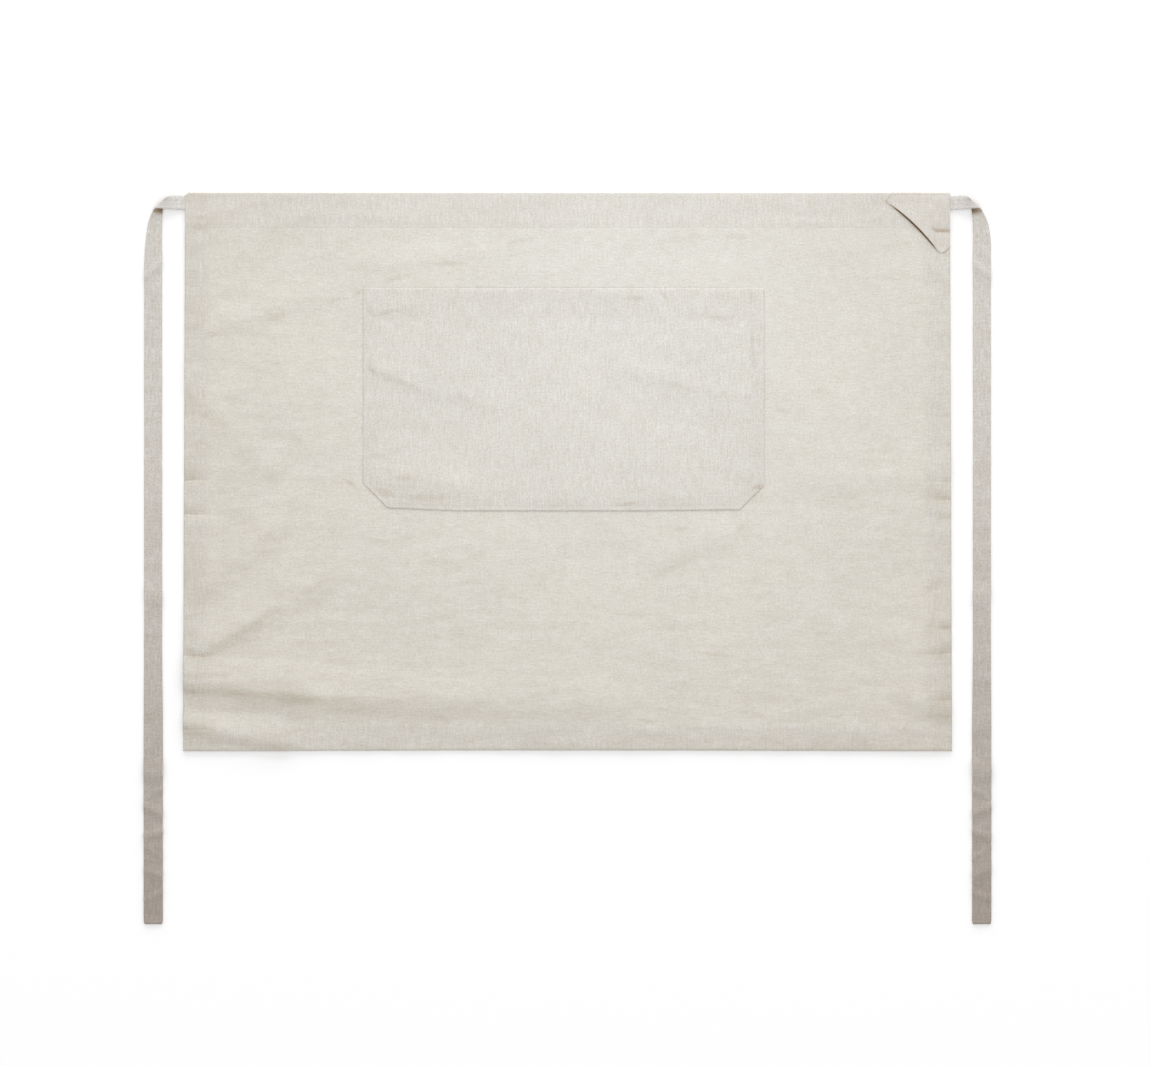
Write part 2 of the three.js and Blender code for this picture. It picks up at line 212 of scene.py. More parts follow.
def crease_line_group():
    """How much of a short straight crease, a long thin ellipse, lies at a place. Along and Across
    are its two axes, each divided by the square of its length."""
    tree, add, (place, middle, along, across), result = new_group(
        "crease_line",
        {"Cloth place": "Vector", "Middle": "Vector", "Along": "Vector", "Across": "Vector"},
        {"Mask": "Float"})
    away = add("VectorMath", place, middle, operation="SUBTRACT")
    first = add("VectorMath", away, along, operation="DOT_PRODUCT", out=1)
    second = add("VectorMath", away, across, operation="DOT_PRODUCT", out=1)
    outward = add("Math", second, second, operation="MULTIPLY")
    outward = add("Math", first, first, outward, operation="MULTIPLY_ADD")
    inward = add("Math", 1.0, outward, operation="SUBTRACT", use_clamp=True)
    mask = add("Math", inward, inward, operation="MULTIPLY")
    tree.links.new(mask, result["Mask"])
    return tree


def tone_group():
    """Colour of the cloth: warm where it is single, greyer where layers lie on each other."""
    tree, add, (place, single, layered, layers, painted_shade, shade), result = new_group(
        "linen_tone",
        {"Place": "Vector", "Single": "Color", "Layered": "Color", "Layers": "Float",
         "Painted shade": "Float", "Shade": "Float"},
        {"Colour": "Color"})
    colour = mix_colour(add, layers, single, layered)
    # Clouds of warmer and cooler cloth: a hand wide, two fingers wide and a finger wide
    for scale, low, high in (
            (8.0, (0.950, 0.955, 0.965), (1.050, 1.045, 1.035)),
            (40.0, (0.962, 0.955, 0.940), (1.038, 1.045, 1.060)),
            (130.0, (0.955, 0.945, 0.930), (1.045, 1.055, 1.070))):
        cloud = add("TexNoise", place, None, scale, 3.0, 0.55)
        tint = mix_colour(add, cloud, (*low, 1.0), (*high, 1.0))
        colour = mix_colour(add, 1.0, colour, tint, "MULTIPLY")
    # Thin places of the yarn look browner, thick ones whiter
    change = add("Math", shade, 1.0, operation="SUBTRACT")
    yarn = add("VectorMath", change, (0.78, 1.0, 1.42), (1.0, 1.0, 1.0),
               operation="MULTIPLY_ADD")
    colour = mix_colour(add, 1.0, colour, yarn, "MULTIPLY")
    # Painted shade in folds, creases, tucks, gaps and under the parts is browner, and nearly black
    # where deepest
    open_share = add("Math", 1.0, painted_shade, operation="SUBTRACT", use_clamp=True)
    shade_tint = add("CombineColor", *(
        add("Math", open_share, power, operation="POWER") for power in painted_shade_powers))
    colour = mix_colour(add, 1.0, colour, shade_tint, "MULTIPLY")
    # Painted light: a pool of light, palest at the middle of the cloth's top, falling off
    # browner towards its sides and its foot
    away = add("VectorMath", place, light_pool_middle, operation="DISTANCE", out=1)
    falloff_share = add("MapRange", away, 0.04, 0.55, 0.0, 1.0)
    falloff_colour = mix_colour(add, falloff_share, (1.03, 1.03, 1.03, 1.0), light_falloff_tint)
    colour = mix_colour(add, 1.0, colour, falloff_colour, "MULTIPLY")
    # Painted shade and light of small wrinkles along the weft, about four centimetres long, stronger
    # further from the middle of the top
    along_weft = add("VectorMath", place, (22.0, 105.0, 1.0), operation="MULTIPLY")
    wrinkle_shade = add("TexNoise", along_weft, None, 1.0, 2.0, 0.55)
    tint = mix_colour(add, wrinkle_shade, (0.880, 0.860, 0.830, 1.0), (1.120, 1.140, 1.170, 1.0))
    wrinkle_shade_share = add("MapRange", away, 0.15, 0.60, 0.10, 1.0)
    colour = mix_colour(add, wrinkle_shade_share, colour, tint, "MULTIPLY")
    tree.links.new(colour, result["Colour"])
    return tree


linen_weave = weave_group()
crease_line = crease_line_group()
linen_tone = tone_group()
apron_corner = (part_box("waistband")[0][0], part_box("waistband")[1][1])


def linen(name, single, layered, speckle, warp_slubs, weft_slubs, place="Object", creases=(),
          hem_slubs=0.0, painted_falloff=None):
    """A linen cloth. place is Object, or UV where the weave follows a bent piece. A crease is given
    by its ends in millimetres from the apron's upper left corner, its half width and the strength of
    its painted shade. hem_slubs adds warp slubs where the cloth is doubled. The colour may also be
    given a painted falloff of light."""
    material = bpy.data.materials.new(name)
    material.use_nodes = True
    tree = material.node_tree
    add = node_chain(tree)
    shader = tree.nodes["Principled BSDF"]
    object_place = add("TexCoord", out="Object")
    layers = add("Attribute", out=2, attribute_name="layers")
    painted_shade = add("Attribute", out=2, attribute_name="painted_shade")
    slubs = add("Math", layers, hem_slubs, warp_slubs, operation="MULTIPLY_ADD")
    shade = add("Group", object_place.node.outputs[place], yarn_pitch, speckle, slubs, weft_slubs,
                node_tree=linen_weave)
    height = shade.node.outputs["Height"]
    if creases:
        # Every crease wavers by about a millimetre
        level_place = add("VectorMath", object_place, (1.0, 1.0, 0.0), operation="MULTIPLY")
        waver = add("TexNoise", level_place, None, 75.0, 2.0, 0.5, out=1)
        waver = add("VectorMath", waver, (0.5, 0.5, 0.5), operation="SUBTRACT")
        wavered = add("VectorMath", waver, (0.005, 0.005, 0.0), level_place,
                      operation="MULTIPLY_ADD")
    for from_x, from_y, to_x, to_y, half_width_mm, strength in creases:
        start = Vector((from_x, -from_y, 0.0)) / 1000
        end = Vector((to_x, -to_y, 0.0)) / 1000
        run = end - start
        across = Vector((-run.y, run.x, 0.0)).normalized() * 1000 / (crease_softness * half_width_mm)
        mask = add("Group", wavered, (start + end) / 2 + Vector((*apron_corner, 0.0)),
                   run * 2 / run.length_squared, across, node_tree=crease_line)
        painted_shade = add("Math", mask, strength, painted_shade, operation="MULTIPLY_ADD")
        height = add("Math", mask, -half_width_mm * crease_dip, height, operation="MULTIPLY_ADD")
    colour = add("Group", object_place, (*single, 1.0), (*layered, 1.0), layers, painted_shade, shade,
                 node_tree=linen_tone)
    if painted_falloff is not None:
        colour = painted_falloff(add, object_place, colour)
    tree.links.new(colour, shader.inputs["Base Color"])
    set_inputs(shader, linen_surface)
    bump = tree.nodes.new("ShaderNodeBump")
    set_inputs(bump, {"Strength": 0.6, "Distance": 1.0})
    tree.links.new(height, bump.inputs["Height"])
    tree.links.new(bump.outputs["Normal"], shader.inputs["Normal"])
    return material


# The apron panel: one piece of linen, its sides and foot turned to the back and stitched down, and
# its top edge caught in the band. It lies with shallow folds, deepest towards its lower left.
panel_low, panel_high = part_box("apron_panel")
band_low, band_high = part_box("waistband")
pocket_low, pocket_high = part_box("pocket")
loop_low, loop_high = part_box("towel_loop")
apron_width = panel_high[0] - panel_low[0]
apron_height = band_high[1] - panel_low[1]
half_width = apron_width / 2
side_hem = 0.020
foot_hem = 0.023
field_level = 0.0009
field_wall = 0.0006
hem_wall = 0.0020
hem_rise = 0.0003
hem_run = 0.009
seam_level = 0.0022
seam_run = 0.030
panel_top_inset = 0.0015
panel_foot_spread = 0.0005
panel_foot_bow = 0.0008
panel_single = (0.705, 0.685, 0.625)
panel_layered = (0.687, 0.669, 0.620)
groove_reach = 0.0012
tuck_full = 0.008
tuck_half = 0.019
tuck_end = 0.034
row_inset = 0.0015
edge_rounding = 0.0004
fold_shade_tint = 0.11
tuck_shade_tint = 0.24
edge_shade_tint = 0.05
side_tint = 0.04
foot_tint = 0.045
foot_tint_right = 0.065

# Folds: ends as shares of the apron's width and height from its upper left corner, then the rise
# in millimetres and the half width in millimetres
panel_folds = [
    (0.010, 0.872, 0.190, 0.901, 3.4, 20.0),
    (0.190, 0.901, 0.370, 0.911, 2.7, 21.0),
    (0.370, 0.911, 0.560, 0.919, 1.5, 23.0),
    (0.020, 0.822, 0.090, 0.765, 1.9, 15.0),
    (0.090, 0.765, 0.190, 0.695, 1.1, 16.0),
    (0.030, 0.705, 0.120, 0.595, 1.0, 17.0),
    (0.000, 0.345, 0.055, 0.415, 0.7, 16.0),
    (0.055, 0.415, 0.110, 0.500, 0.7, 14.0),
    (0.020, 0.240, 0.160, 0.190, 0.7, 15.0),
    (0.230, 0.128, 0.385, 0.104, 0.5, 13.0),
    (0.830, 0.525, 0.990, 0.510, 0.7, 15.0),
    (0.620, 0.660, 0.700, 0.615, 0.8, 17.0),
    (0.000, 0.955, 0.130, 0.985, 2.8, 12.0),
    (0.930, 0.900, 1.000, 0.935, 1.0, 13.0),
]
# Tucks where the side hems' stitches gather the cloth: side, place as a share of the apron's
# height, depth in millimetres and reach above and below the tuck in millimetres
hem_tucks = [
    (-1, 0.219, 0.30, 14.0, 8.0), (-1, 0.402, 0.45, 16.0, 4.0), (-1, 0.515, 0.95, 10.0, 1.4),
    (-1, 0.578, 0.85, 8.0, 1.8), (-1, 0.635, 0.20, 10.0, 8.0), (-1, 0.682, 0.45, 8.0, 8.0),
    (-1, 0.733, 0.25, 8.0, 8.0), (-1, 0.833, 0.80, 7.0, 1.4), (-1, 0.897, 0.38, 7.0, 2.0),
    (-1, 0.962, 0.90, 8.0, 2.0),
    (1, 0.160, 0.30, 8.0, 6.0), (1, 0.257, 0.25, 8.0, 8.0), (1, 0.398, 0.25, 5.0, 4.0),
    (1, 0.454, 0.25, 4.0, 4.0), (1, 0.518, 0.50, 8.0, 2.0), (1, 0.551, 0.85, 6.0, 4.0),
    (1, 0.581, 0.35, 4.0, 4.0), (1, 0.633, 0.35, 6.0, 5.0), (1, 0.680, 0.25, 6.0, 3.0),
    (1, 0.723, 0.45, 7.0, 7.0), (1, 0.777, 1.05, 5.0, 6.0), (1, 0.829, 1.00, 9.0, 5.0),
    (1, 0.866, 0.35, 7.0, 5.0), (1, 0.911, 1.20, 8.0, 5.0), (1, 0.940, 0.80, 6.0, 5.0),
]
# Creases: from and to, in millimetres from the apron's upper left corner, then the half width in
# millimetres and the strength of the painted shade along it
panel_creases = [
    (196, 96, 249, 84, 3.0, 0.13), (248, 74, 306, 75, 2.4, 0.13), (332, 55, 372, 48, 3.0, 0.11),
    (274, 57, 322, 53, 3.0, 0.06), (142, 114, 178, 109, 2.0, 0.10), (171, 111, 190, 100, 1.9, 0.17),
    (78, 131, 114, 130, 4.2, 0.11), (480, 53, 562, 44, 3.6, 0.08), (552, 44, 598, 47, 3.0, 0.10),
    (20, 149, 40, 147, 2.8, 0.14), (70, 178, 120, 178, 2.8, 0.08), (20, 166, 118, 198, 3.0, 0.06),
    (0, 200, 20, 230, 4.5, 0.07), (14, 224, 66, 257, 5.5, 0.05), (90, 280, 93, 310, 8.0, 0.04),
    (73, 373, 99, 345, 4.5, 0.11), (106, 246, 127, 267, 3.4, 0.08), (163, 296, 184, 311, 2.2, 0.22),
    (188, 362, 222, 364, 2.5, 0.13), (214, 365, 250, 356, 2.5, 0.10), (238, 386, 290, 385, 3.5, 0.09),
    (280, 386, 326, 372, 3.5, 0.09), (262, 412, 322, 402, 3.0, 0.10), (20, 480, 50, 466, 4.2, 0.10),
    (36, 473, 116, 423, 4.5, 0.10), (104, 429, 174, 391, 4.0, 0.08), (648, 208, 674, 206, 2.8, 0.13),
    (612, 228, 636, 228, 2.8, 0.11), (508, 352, 531, 349, 3.4, 0.15), (571, 352, 591, 348, 3.4, 0.15),
    (476, 408, 545, 374, 3.5, 0.09), (432, 440, 503, 440, 1.9, 0.07), (523, 478, 583, 485, 2.6, 0.14),
    (738, 119, 770, 115, 3.0, 0.09), (757, 427, 799, 398, 4.2, 0.09), (247, 546, 295, 550, 3.2, 0.12),
    (469, 549, 500, 555, 2.8, 0.12), (580, 546, 611, 546, 3.2, 0.11), (675, 548, 690, 544, 2.4, 0.15),
    (16, 515, 90, 527, 6.5, 0.15), (74, 525, 162, 531, 6.0, 0.13), (6, 38, 27, 36, 2.2, 0.20),
    (20, 42, 140, 39, 2.4, 0.05), (8, 497, 62, 505, 5.0, 0.08),
]


def smooth_step(value, low, high):
    share = min(max((value - low) / (high - low), 0.0), 1.0)
    return share * share * (3.0 - 2.0 * share)


def near(value, low, high):
    """One up to the low value, none from the high one on."""
    return 1.0 - smooth_step(value, low, high)


def bell(value, reach):
    return math.exp(-((value / reach) ** 2))


def ridge(folds, x, down, width, height):
    """The highest fold at a place measured from a piece's upper left corner: its height in
    metres, and how far the place lies on the fold's lower side. A fold is steeper below."""
    highest = 0.0
    flank = 0.0
    for from_x, from_y, to_x, to_y, rise, spread in folds:
        start_x = from_x * width
        start_y = from_y * height
        along_x = to_x * width - start_x
        along_y = to_y * height - start_y
        share = ((x - start_x) * along_x + (down - start_y) * along_y)
        share = min(max(share / (along_x**2 + along_y**2), 0.0), 1.0)
        away_x = x - start_x - share * along_x
        away_y = down - start_y - share * along_y
        distance = math.hypot(away_x, away_y)
        reach = spread * 0.001 * (1.25 - 0.45 * smooth_step(away_y / max(distance, 1e-6), -0.7, 0.7))
        level = rise * 0.001 * bell(distance, reach)
        if away_y > 0.0:
            flank = max(flank, rise / 3.4 * bell(distance - 0.7 * reach, 0.5 * reach))
        highest = max(highest, level)
    return highest, flank


def crumple(x, y, wave_x, wave_y, depth, seed):
    """A soft random unevenness of the cloth, with waves of the given lengths."""
    place = Vector((x / wave_x, y / wave_y, seed))
    return depth * noise.fractal(place, 0.9, 2.1, 3, noise_basis="PERLIN_ORIGINAL")


def pucker(along, away, seed, depth=0.0003, reach=0.006, wave=0.012):
    """The little gathers that a row of stitches draws into the cloth beside it."""
    return depth * noise.noise(Vector((along / wave, seed, 0.0))) * bell(away, reach)


def groove(away, depth):
    """The shallow groove that a row of stitches pulls into the cloth."""
    return -depth * bell(away, groove_reach)


def lines(*stretches):
    """Grid lines from stretches given as (start, end, step), each starting where the last ended."""
    result = [stretches[0][0]]
    for start, end, step in stretches:
        parts = max(1, round(abs(end - start) / step))
        result += [start + (end - start) * part / parts for part in range(1, parts + 1)]
    return result


def edged_lines(half, margin, fine, coarse):
    """Grid lines from -half to half, closer together within the margin at both ends."""
    return lines((-half, margin - half, fine), (margin - half, half - margin, coarse),
                 (half - margin, half, fine))


def cloth_mesh(name, across, down, shape):
    """A grid of cloth with one line per given coordinate. shape puts a crossing of two lines in
    place, and says how much the cloth there is doubled and how much painted shade it has."""
    mesh = bmesh.new()
    bmesh.ops.create_grid(
        mesh, x_segments=len(across) - 1, y_segments=len(down) - 1, size=0.5, calc_uvs=False)
    doubled = mesh.verts.layers.float.new("layers")
    shade_tint = mesh.verts.layers.float.new("painted_shade")
    unwrapped = mesh.loops.layers.uv.new("cloth")
    flat = {}
    for vertex in mesh.verts:
        s = across[round((vertex.co.x + 0.5) * (len(across) - 1))]
        t = down[round((vertex.co.y + 0.5) * (len(down) - 1))]
        flat[vertex] = (s, t)
        vertex.co, vertex[doubled], vertex[shade_tint] = shape(s, t)
    for face in mesh.faces:
        face.smooth = True
        for corner in face.loops:
            corner[unwrapped].uv = flat[corner.vert]
    return new_piece(name, mesh)


def thicken(piece, wall, thin=None):
    """Gives a sheet its wall, downwards. thin is the share of the wall that single cloth has."""
    wall_maker = piece.modifiers.new("wall", "SOLIDIFY")
    wall_maker.thickness = wall
    wall_maker.offset = -1.0
    wall_maker.use_even_offset = False
    if thin is not None:
        group = piece.vertex_groups.new(name="doubled")
        for index, value in enumerate(piece.data.attributes["layers"].data):
            if value.value > 0.0:
                group.add([index], min(value.value, 1.0), "REPLACE")
        wall_maker.vertex_group = group.name
        wall_maker.thickness_vertex_group = thin


def trued(x, y):
    """The panel is a little narrower at its top than at its foot, and its foot bows up."""
    up = min(max((y - panel_low[1]) / (panel_high[1] - panel_low[1]), 0.0), 1.0)
    inset = panel_top_inset * up**1.3 - panel_foot_spread * (1.0 - up)
    at_foot = near(y - panel_low[1], 0.0, 0.06)
    bow = panel_foot_bow * (max(1.0 - (x / 0.32) ** 2, 0.0) - 0.25)
    # Near the sides the hem's tucks run a little askew
    beside = max(abs(x) - half_width + tuck_end, 0.0) * (1.0 - at_foot)
    beside *= near(up, 0.9, 1.0)
    askew = noise.noise(Vector((y / 0.028, math.copysign(3.0, x), 0.0))) * 0.16 * beside
    return x * (1.0 - inset / half_width), y + bow * at_foot + askew


def hem_share(x, y):
    """One on the panel's turned hems, none on its single cloth."""
    to_side = half_width - side_hem - abs(x)
    to_foot = y - panel_low[1] - foot_hem
    return near(min(to_side, to_foot), 0.0, hem_run)


def under_a_piece(x, y):
    """None where a sewn piece lies on the panel, one clear of it."""
    clear = smooth_step(band_low[1] - y, 0.0, 0.026)
    for low, high in ((pocket_low, pocket_high), (loop_low, loop_high)):
        out_x = max(low[0] - x, 0.0, x - high[0])
        out_y = max(low[1] - y, 0.0, y - high[1])
        clear *= smooth_step(math.hypot(out_x, out_y), 0.0, 0.026)
    return clear


def tuck_depth(x, y):
    """The tucks in the side hems: the cloth dips towards each and comes up sharply below it."""
    depth = 0.0
    to_side = half_width - abs(x)
    across = 1.0 - 0.5 * smooth_step(to_side, tuck_full, tuck_half)
    across -= 0.5 * smooth_step(to_side, tuck_half, tuck_end)
    if across <= 0.0:
        return 0.0, 0.0
    for side, share, deep, reach_above, reach_below in hem_tucks:
        if side * x < 0.0:
            continue
        above = (y - (band_high[1] - share * apron_height)) * 1000.0
        depth += deep * math.exp(-above / reach_above if above > 0.0 else above / reach_below)
    return depth * 0.001 * across, min(depth, 1.0) * across


def panel_place(x, y):
    """A place on the panel's upper face, how doubled the cloth is there, and how much painted shade it
    has.
    """
    hem = hem_share(x, y)
    clear = under_a_piece(x, y)
    to_side = half_width - abs(x)
    to_foot = y - panel_low[1]
    to_seam = band_low[1] - y
    fold, flank = ridge(panel_folds, x + half_width, band_high[1] - y, apron_width, apron_height)
    tuck, tucked = tuck_depth(x, y)
    level = field_level + field_wall + hem_rise * hem + fold * clear - tuck
    level += (0.00025 + crumple(x, y, 0.15, 0.09, 0.0004, 1.7)) * (0.3 + 0.7 * clear)
    level += crumple(x, y, 0.055, 0.016, 0.00014, 5.3) * (0.25 + 0.75 * clear)
    # The foot and the sides: a row of stitches at the hem's inner edge, a rounded outer edge
    side_row = to_side - side_hem + row_inset
    foot_row = to_foot - foot_hem + row_inset
    if to_foot > foot_hem:
        level += groove(side_row, 0.00015) + pucker(y, side_row, math.copysign(2.0, x))
    if to_side > side_hem:
        level += groove(foot_row, 0.00003) + pucker(x, foot_row, 9.0, depth=0.0002, reach=0.010)
    edge = min(to_side, to_foot)
    level -= edge_rounding * near(edge, 0.0, 0.0016)
    level += crumple(x, y, 0.045, 0.045, 0.0005, 8.1) * near(edge, 0.0, 0.02)
    # The band's seam: the panel comes up flush with it, then dives under and runs on inside
    near_seam = smooth_step(-to_seam, -seam_run, 0.0)
    level += (seam_level - level) * near_seam
    level += pucker(x, to_seam, 4.0, depth=0.00012, reach=0.010, wave=0.017)
    if to_seam < 0.0:
        level = min(level, seam_level - 0.0010)
    place_x, place_y = trued(x, y)
    # Painted shade on the folds' lower sides, in the side hems' tucks and along the rounded edges
    painted_shade = fold_shade_tint * flank * clear + tuck_shade_tint * tucked
    painted_shade += edge_shade_tint * near(edge, 0.0, 0.002)
    # The cloth is browner beside its side hems, and towards its foot, most at the right
    painted_shade += side_tint * near(to_side, 0.0, 0.045)
    at_foot = foot_tint + foot_tint_right * smooth_step(x, -0.2, 0.3)
    painted_shade += at_foot * near(to_foot, 0.0, 0.030)
    return Vector((place_x, place_y, max(level, 0.0007))), hem, painted_shade


side_fine = 0.0018
field_across = 0.0050
field_down = 0.0036
tuck_lines = sorted({round(band_high[1] - share * apron_height, 5) for _, share, *_ in hem_tucks})
panel_across = edged_lines(half_width, side_hem + 0.006, side_fine, field_across)
panel_down = lines(
    (panel_low[1], panel_low[1] + foot_hem + 0.006, side_fine),
    (panel_low[1] + foot_hem + 0.006, band_low[1] - 0.012, field_down),
    (band_low[1] - 0.012, band_low[1] - 0.0005, 0.0020),
    (band_low[1] - 0.0005, band_low[1] - 0.0001, 0.0002),
    (band_low[1] - 0.0001, band_low[1] + 0.0001, 0.0002),
    (band_low[1] + 0.0001, panel_high[1], 0.008),
)
for tuck_line in tuck_lines:
    panel_down = [y for y in panel_down if not -0.0014 < y - tuck_line < 0.0034]
    panel_down += [tuck_line + step for step in (-0.0005, -0.0001, 0.0, 0.0004, 0.0016, 0.0034)]
panel_down = sorted(set(panel_down))
panel = cloth_mesh("linen_panel", panel_across, panel_down, panel_place)
thicken(panel, hem_wall, thin=field_wall / hem_wall)
panel.data.materials.append(linen(
    "panel_linen", panel_single, panel_layered, speckle=0.27, warp_slubs=0.08, weft_slubs=0.21,
    hem_slubs=0.18, creases=panel_creases))
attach(panel, "root")
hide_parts("apron_panel")

# The stitches: short linen threads, each lying in the groove that its row pulls into the cloth.
stitch_length = 0.0021
stitch_pitch = 0.0029
stitch_width = 0.00030
stitch_sink = 0.00006
thread_colour = (0.680, 0.657, 0.603)
thread_linen = linen("thread_linen", thread_colour, thread_colour, speckle=0.10,
                     warp_slubs=0.05, weft_slubs=0.05)


def one_stitch():
    """A short fat thread, one metre long in its own measure, along X."""
    mesh = bmesh.new()
    bmesh.ops.create_uvsphere(mesh, u_segments=6, v_segments=4, radius=0.5)
    for face in mesh.faces:
        face.smooth = True
    data = bpy.data.meshes.new("one_stitch")
    mesh.to_mesh(data)
    mesh.free()
    return data


def stitches(name, rows):
    """Rows of stitches as one piece. A row is a function from a distance to a place, and the
    length that it covers."""
    pattern = one_stitch()
    mesh = bmesh.new()
    for row, length in rows:
        for number in range(int(length / stitch_pitch)):
            start = row((number + 0.14) * stitch_pitch)
            end = row((number + 0.86) * stitch_pitch)
            turn = Vector((1.0, 0.0, 0.0)).rotation_difference(end - start).to_matrix().to_4x4()
            size = Matrix.Diagonal((stitch_length, stitch_width, stitch_width, 1.0))
            thread = pattern.copy()
            thread.transform(Matrix.Translation((start + end) / 2) @ turn @ size)
            mesh.from_mesh(thread)
            bpy.data.meshes.remove(thread)
    bpy.data.meshes.remove(pattern)
    piece = new_piece(name, mesh)
    piece.data.materials.append(thread_linen)
    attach(piece, "root")
    return piece


def on_cloth(place_on, x_at, y_at):
    """A row of stitches that follows two coordinates over a piece's upper face."""

    def row(distance):
        place = place_on(x_at(distance), y_at(distance))[0]
        place.z -= stitch_sink
        return place

    return row


hem_row = side_hem - row_inset
foot_row_y = panel_low[1] + foot_hem - row_inset
panel_stitches = stitches("panel_stitches", [
    *((on_cloth(panel_place, lambda d, x=x: x, lambda d: foot_row_y + d),
       band_low[1] - foot_row_y) for x in (-half_width + hem_row, half_width - hem_row)),
    (on_cloth(panel_place, lambda d: -half_width + hem_row + d, lambda d: foot_row_y),
     apron_width - 2 * hem_row),
])

# The waistband: a strip of the same linen folded lengthwise over the panel's top edge, seamed
# flush to the panel in front and stitched down along its lower edge.
band_wall = 0.0005
band_front_level = 0.0022
band_back_level = 0.00055
band_fold = (band_front_level - band_back_level + band_wall) / 2
band_height = band_high[1] - band_low[1]
band_turn = math.pi * band_fold
band_front = band_height - band_fold
band_strip = 2 * band_front + band_turn
band_end_cut = 0.0032
band_stitch_row = 0.0030
band_colour = (0.682, 0.658, 0.605)


def band_place(x, s):
    """s runs from the front's lower edge up, round the fold and down the back."""
    past_fold = s - band_front - band_turn
    to_end = half_width - abs(x)
    if s <= band_front:
        y = band_low[1] + s
        level = band_front_level
        level += groove(s - band_stitch_row, depth=0.00003)
        level += pucker(x, s, 4.0, depth=0.00012, reach=0.010, wave=0.017)
        loose = smooth_step(s, 0.0, 0.006) * smooth_step(band_front - s, 0.0, 0.006)
        level += (crumple(x, y, 0.07, 0.02, 0.0003, 3.3) + 0.0001) * loose
        level -= 0.0004 * near(to_end, 0.0, 0.0014)
    elif past_fold < 0.0:
        angle = math.pi * (s - band_front) / band_turn
        y = band_high[1] - band_fold + band_fold * math.sin(angle)
        level = (band_front_level + band_back_level - band_wall) / 2 + band_fold * math.cos(angle)
    else:
        y = band_high[1] - band_fold - past_fold
        level = band_back_level - band_wall
    cut = max(band_end_cut - to_end, 0.0) * smooth_step(y, band_low[1] + 0.018, band_high[1])
    place_x, _ = trued(x, band_low[1])
    return Vector((place_x, y - cut, level)), 1.0, 0.0


band_across = edged_lines(half_width, 0.006, 0.0012, 0.0032)
band_down = lines(
    (0.0, 0.0002, 0.0002),
    (0.0002, 0.0048, 0.0011),
    (0.0048, band_front, 0.0021),
    (band_front, band_front + band_turn, band_turn / 8),
    (band_front + band_turn, band_strip, 0.008),
)
band = cloth_mesh("linen_waistband", band_across, band_down, band_place)
thicken(band, band_wall)
band.data.materials.append(linen(
    "band_linen", band_colour, band_colour, speckle=0.30, warp_slubs=0.26, weft_slubs=0.10,
    creases=[
        (8, 27, 27, 26, 2.0, 0.16), (4, 35, 28, 34.5, 1.6, 0.12), (60, 10, 66, 32, 3.0, 0.06),
        (699, 30, 736, 30, 3.6, 0.09), (300, 22, 330, 20, 3.2, 0.05),
    ]))
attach(band, "root")
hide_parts("waistband")
band_stitches = stitches("band_stitches", [
    (on_cloth(band_place, lambda d: -half_width + 0.002 + d, lambda d: band_stitch_row),
     apron_width - 0.004),
])

# The patch pocket: a wide piece with a turned hem at its mouth and its lower corners cut off, all
# edges turned in and stitched down close to the edge. It stands a little off the panel.
pocket_hem = 0.031
pocket_corner = 0.0255
pocket_wall = 0.00025
pocket_thin = 0.8
pocket_gap = 0.00003
pocket_fullness = 0.0004
pocket_edge_row = 0.0042
pocket_turning = 0.012
pocket_foot_slant = 0.0034
pocket_foot_slant_right = 0.0012
pocket_rounding = 0.00015
pocket_foot_shadow_tint = 0.17
pocket_left_shadow_tint = 0.04
pocket_width = pocket_high[0] - pocket_low[0]
pocket_height = pocket_high[1] - pocket_low[1]
pocket_middle = (pocket_low[0] + pocket_high[0]) / 2
pocket_single = (0.695, 0.675, 0.622)
pocket_layered = (0.680, 0.657, 0.605)

# Folds and creases, given as the panel's are, but the folds' ends as shares of the pocket's size
pocket_folds = [
    (0.010, 0.340, 0.120, 0.430, 0.8, 9.0),
    (0.120, 0.430, 0.330, 0.520, 0.5, 11.0),
    (0.670, 0.370, 0.820, 0.450, 0.5, 11.0),
    (0.820, 0.450, 0.960, 0.480, 0.4, 10.0),
    (0.040, 0.840, 0.240, 0.900, 0.8, 12.0),
    (0.012, 0.105, 0.110, 0.080, 0.4, 6.0),
    (0.600, 0.030, 0.680, 0.030, 0.4, 8.0),
]
pocket_creases = [
    (189, 121, 198, 130, 2.0, 0.14), (194, 130, 231, 121, 2.0, 0.15), (230, 124, 274, 150, 2.4, 0.06),
    (190, 149, 220, 143, 2.6, 0.07), (188, 179, 204, 190, 3.0, 0.16), (198, 188, 256, 209, 3.8, 0.12),
    (278, 212, 309, 220, 3.6, 0.08), (188, 275, 216, 275, 2.8, 0.12), (206, 285, 222, 297, 2.8, 0.13),
    (214, 297, 249, 300, 3.0, 0.14), (196, 308, 226, 319, 3.6, 0.18), (214, 317, 290, 318, 4.2, 0.12),
    (456, 108, 488, 112, 3.0, 0.16), (494, 101, 508, 115, 2.6, 0.14), (539, 131, 580, 131, 2.6, 0.13),
    (590, 90, 592, 124, 2.4, 0.14), (592, 105, 594, 216, 2.0, 0.09), (580, 214, 598, 214, 3.0, 0.15),
    (580, 237, 596, 237, 3.0, 0.14), (486, 194, 545, 210, 4.2, 0.08), (590, 309, 607, 304, 2.4, 0.34),
    (448, 326, 477, 323.5, 2.4, 0.22), (258, 100, 272, 103, 3.0, 0.10), (330, 125, 345, 123, 2.6, 0.07),
]


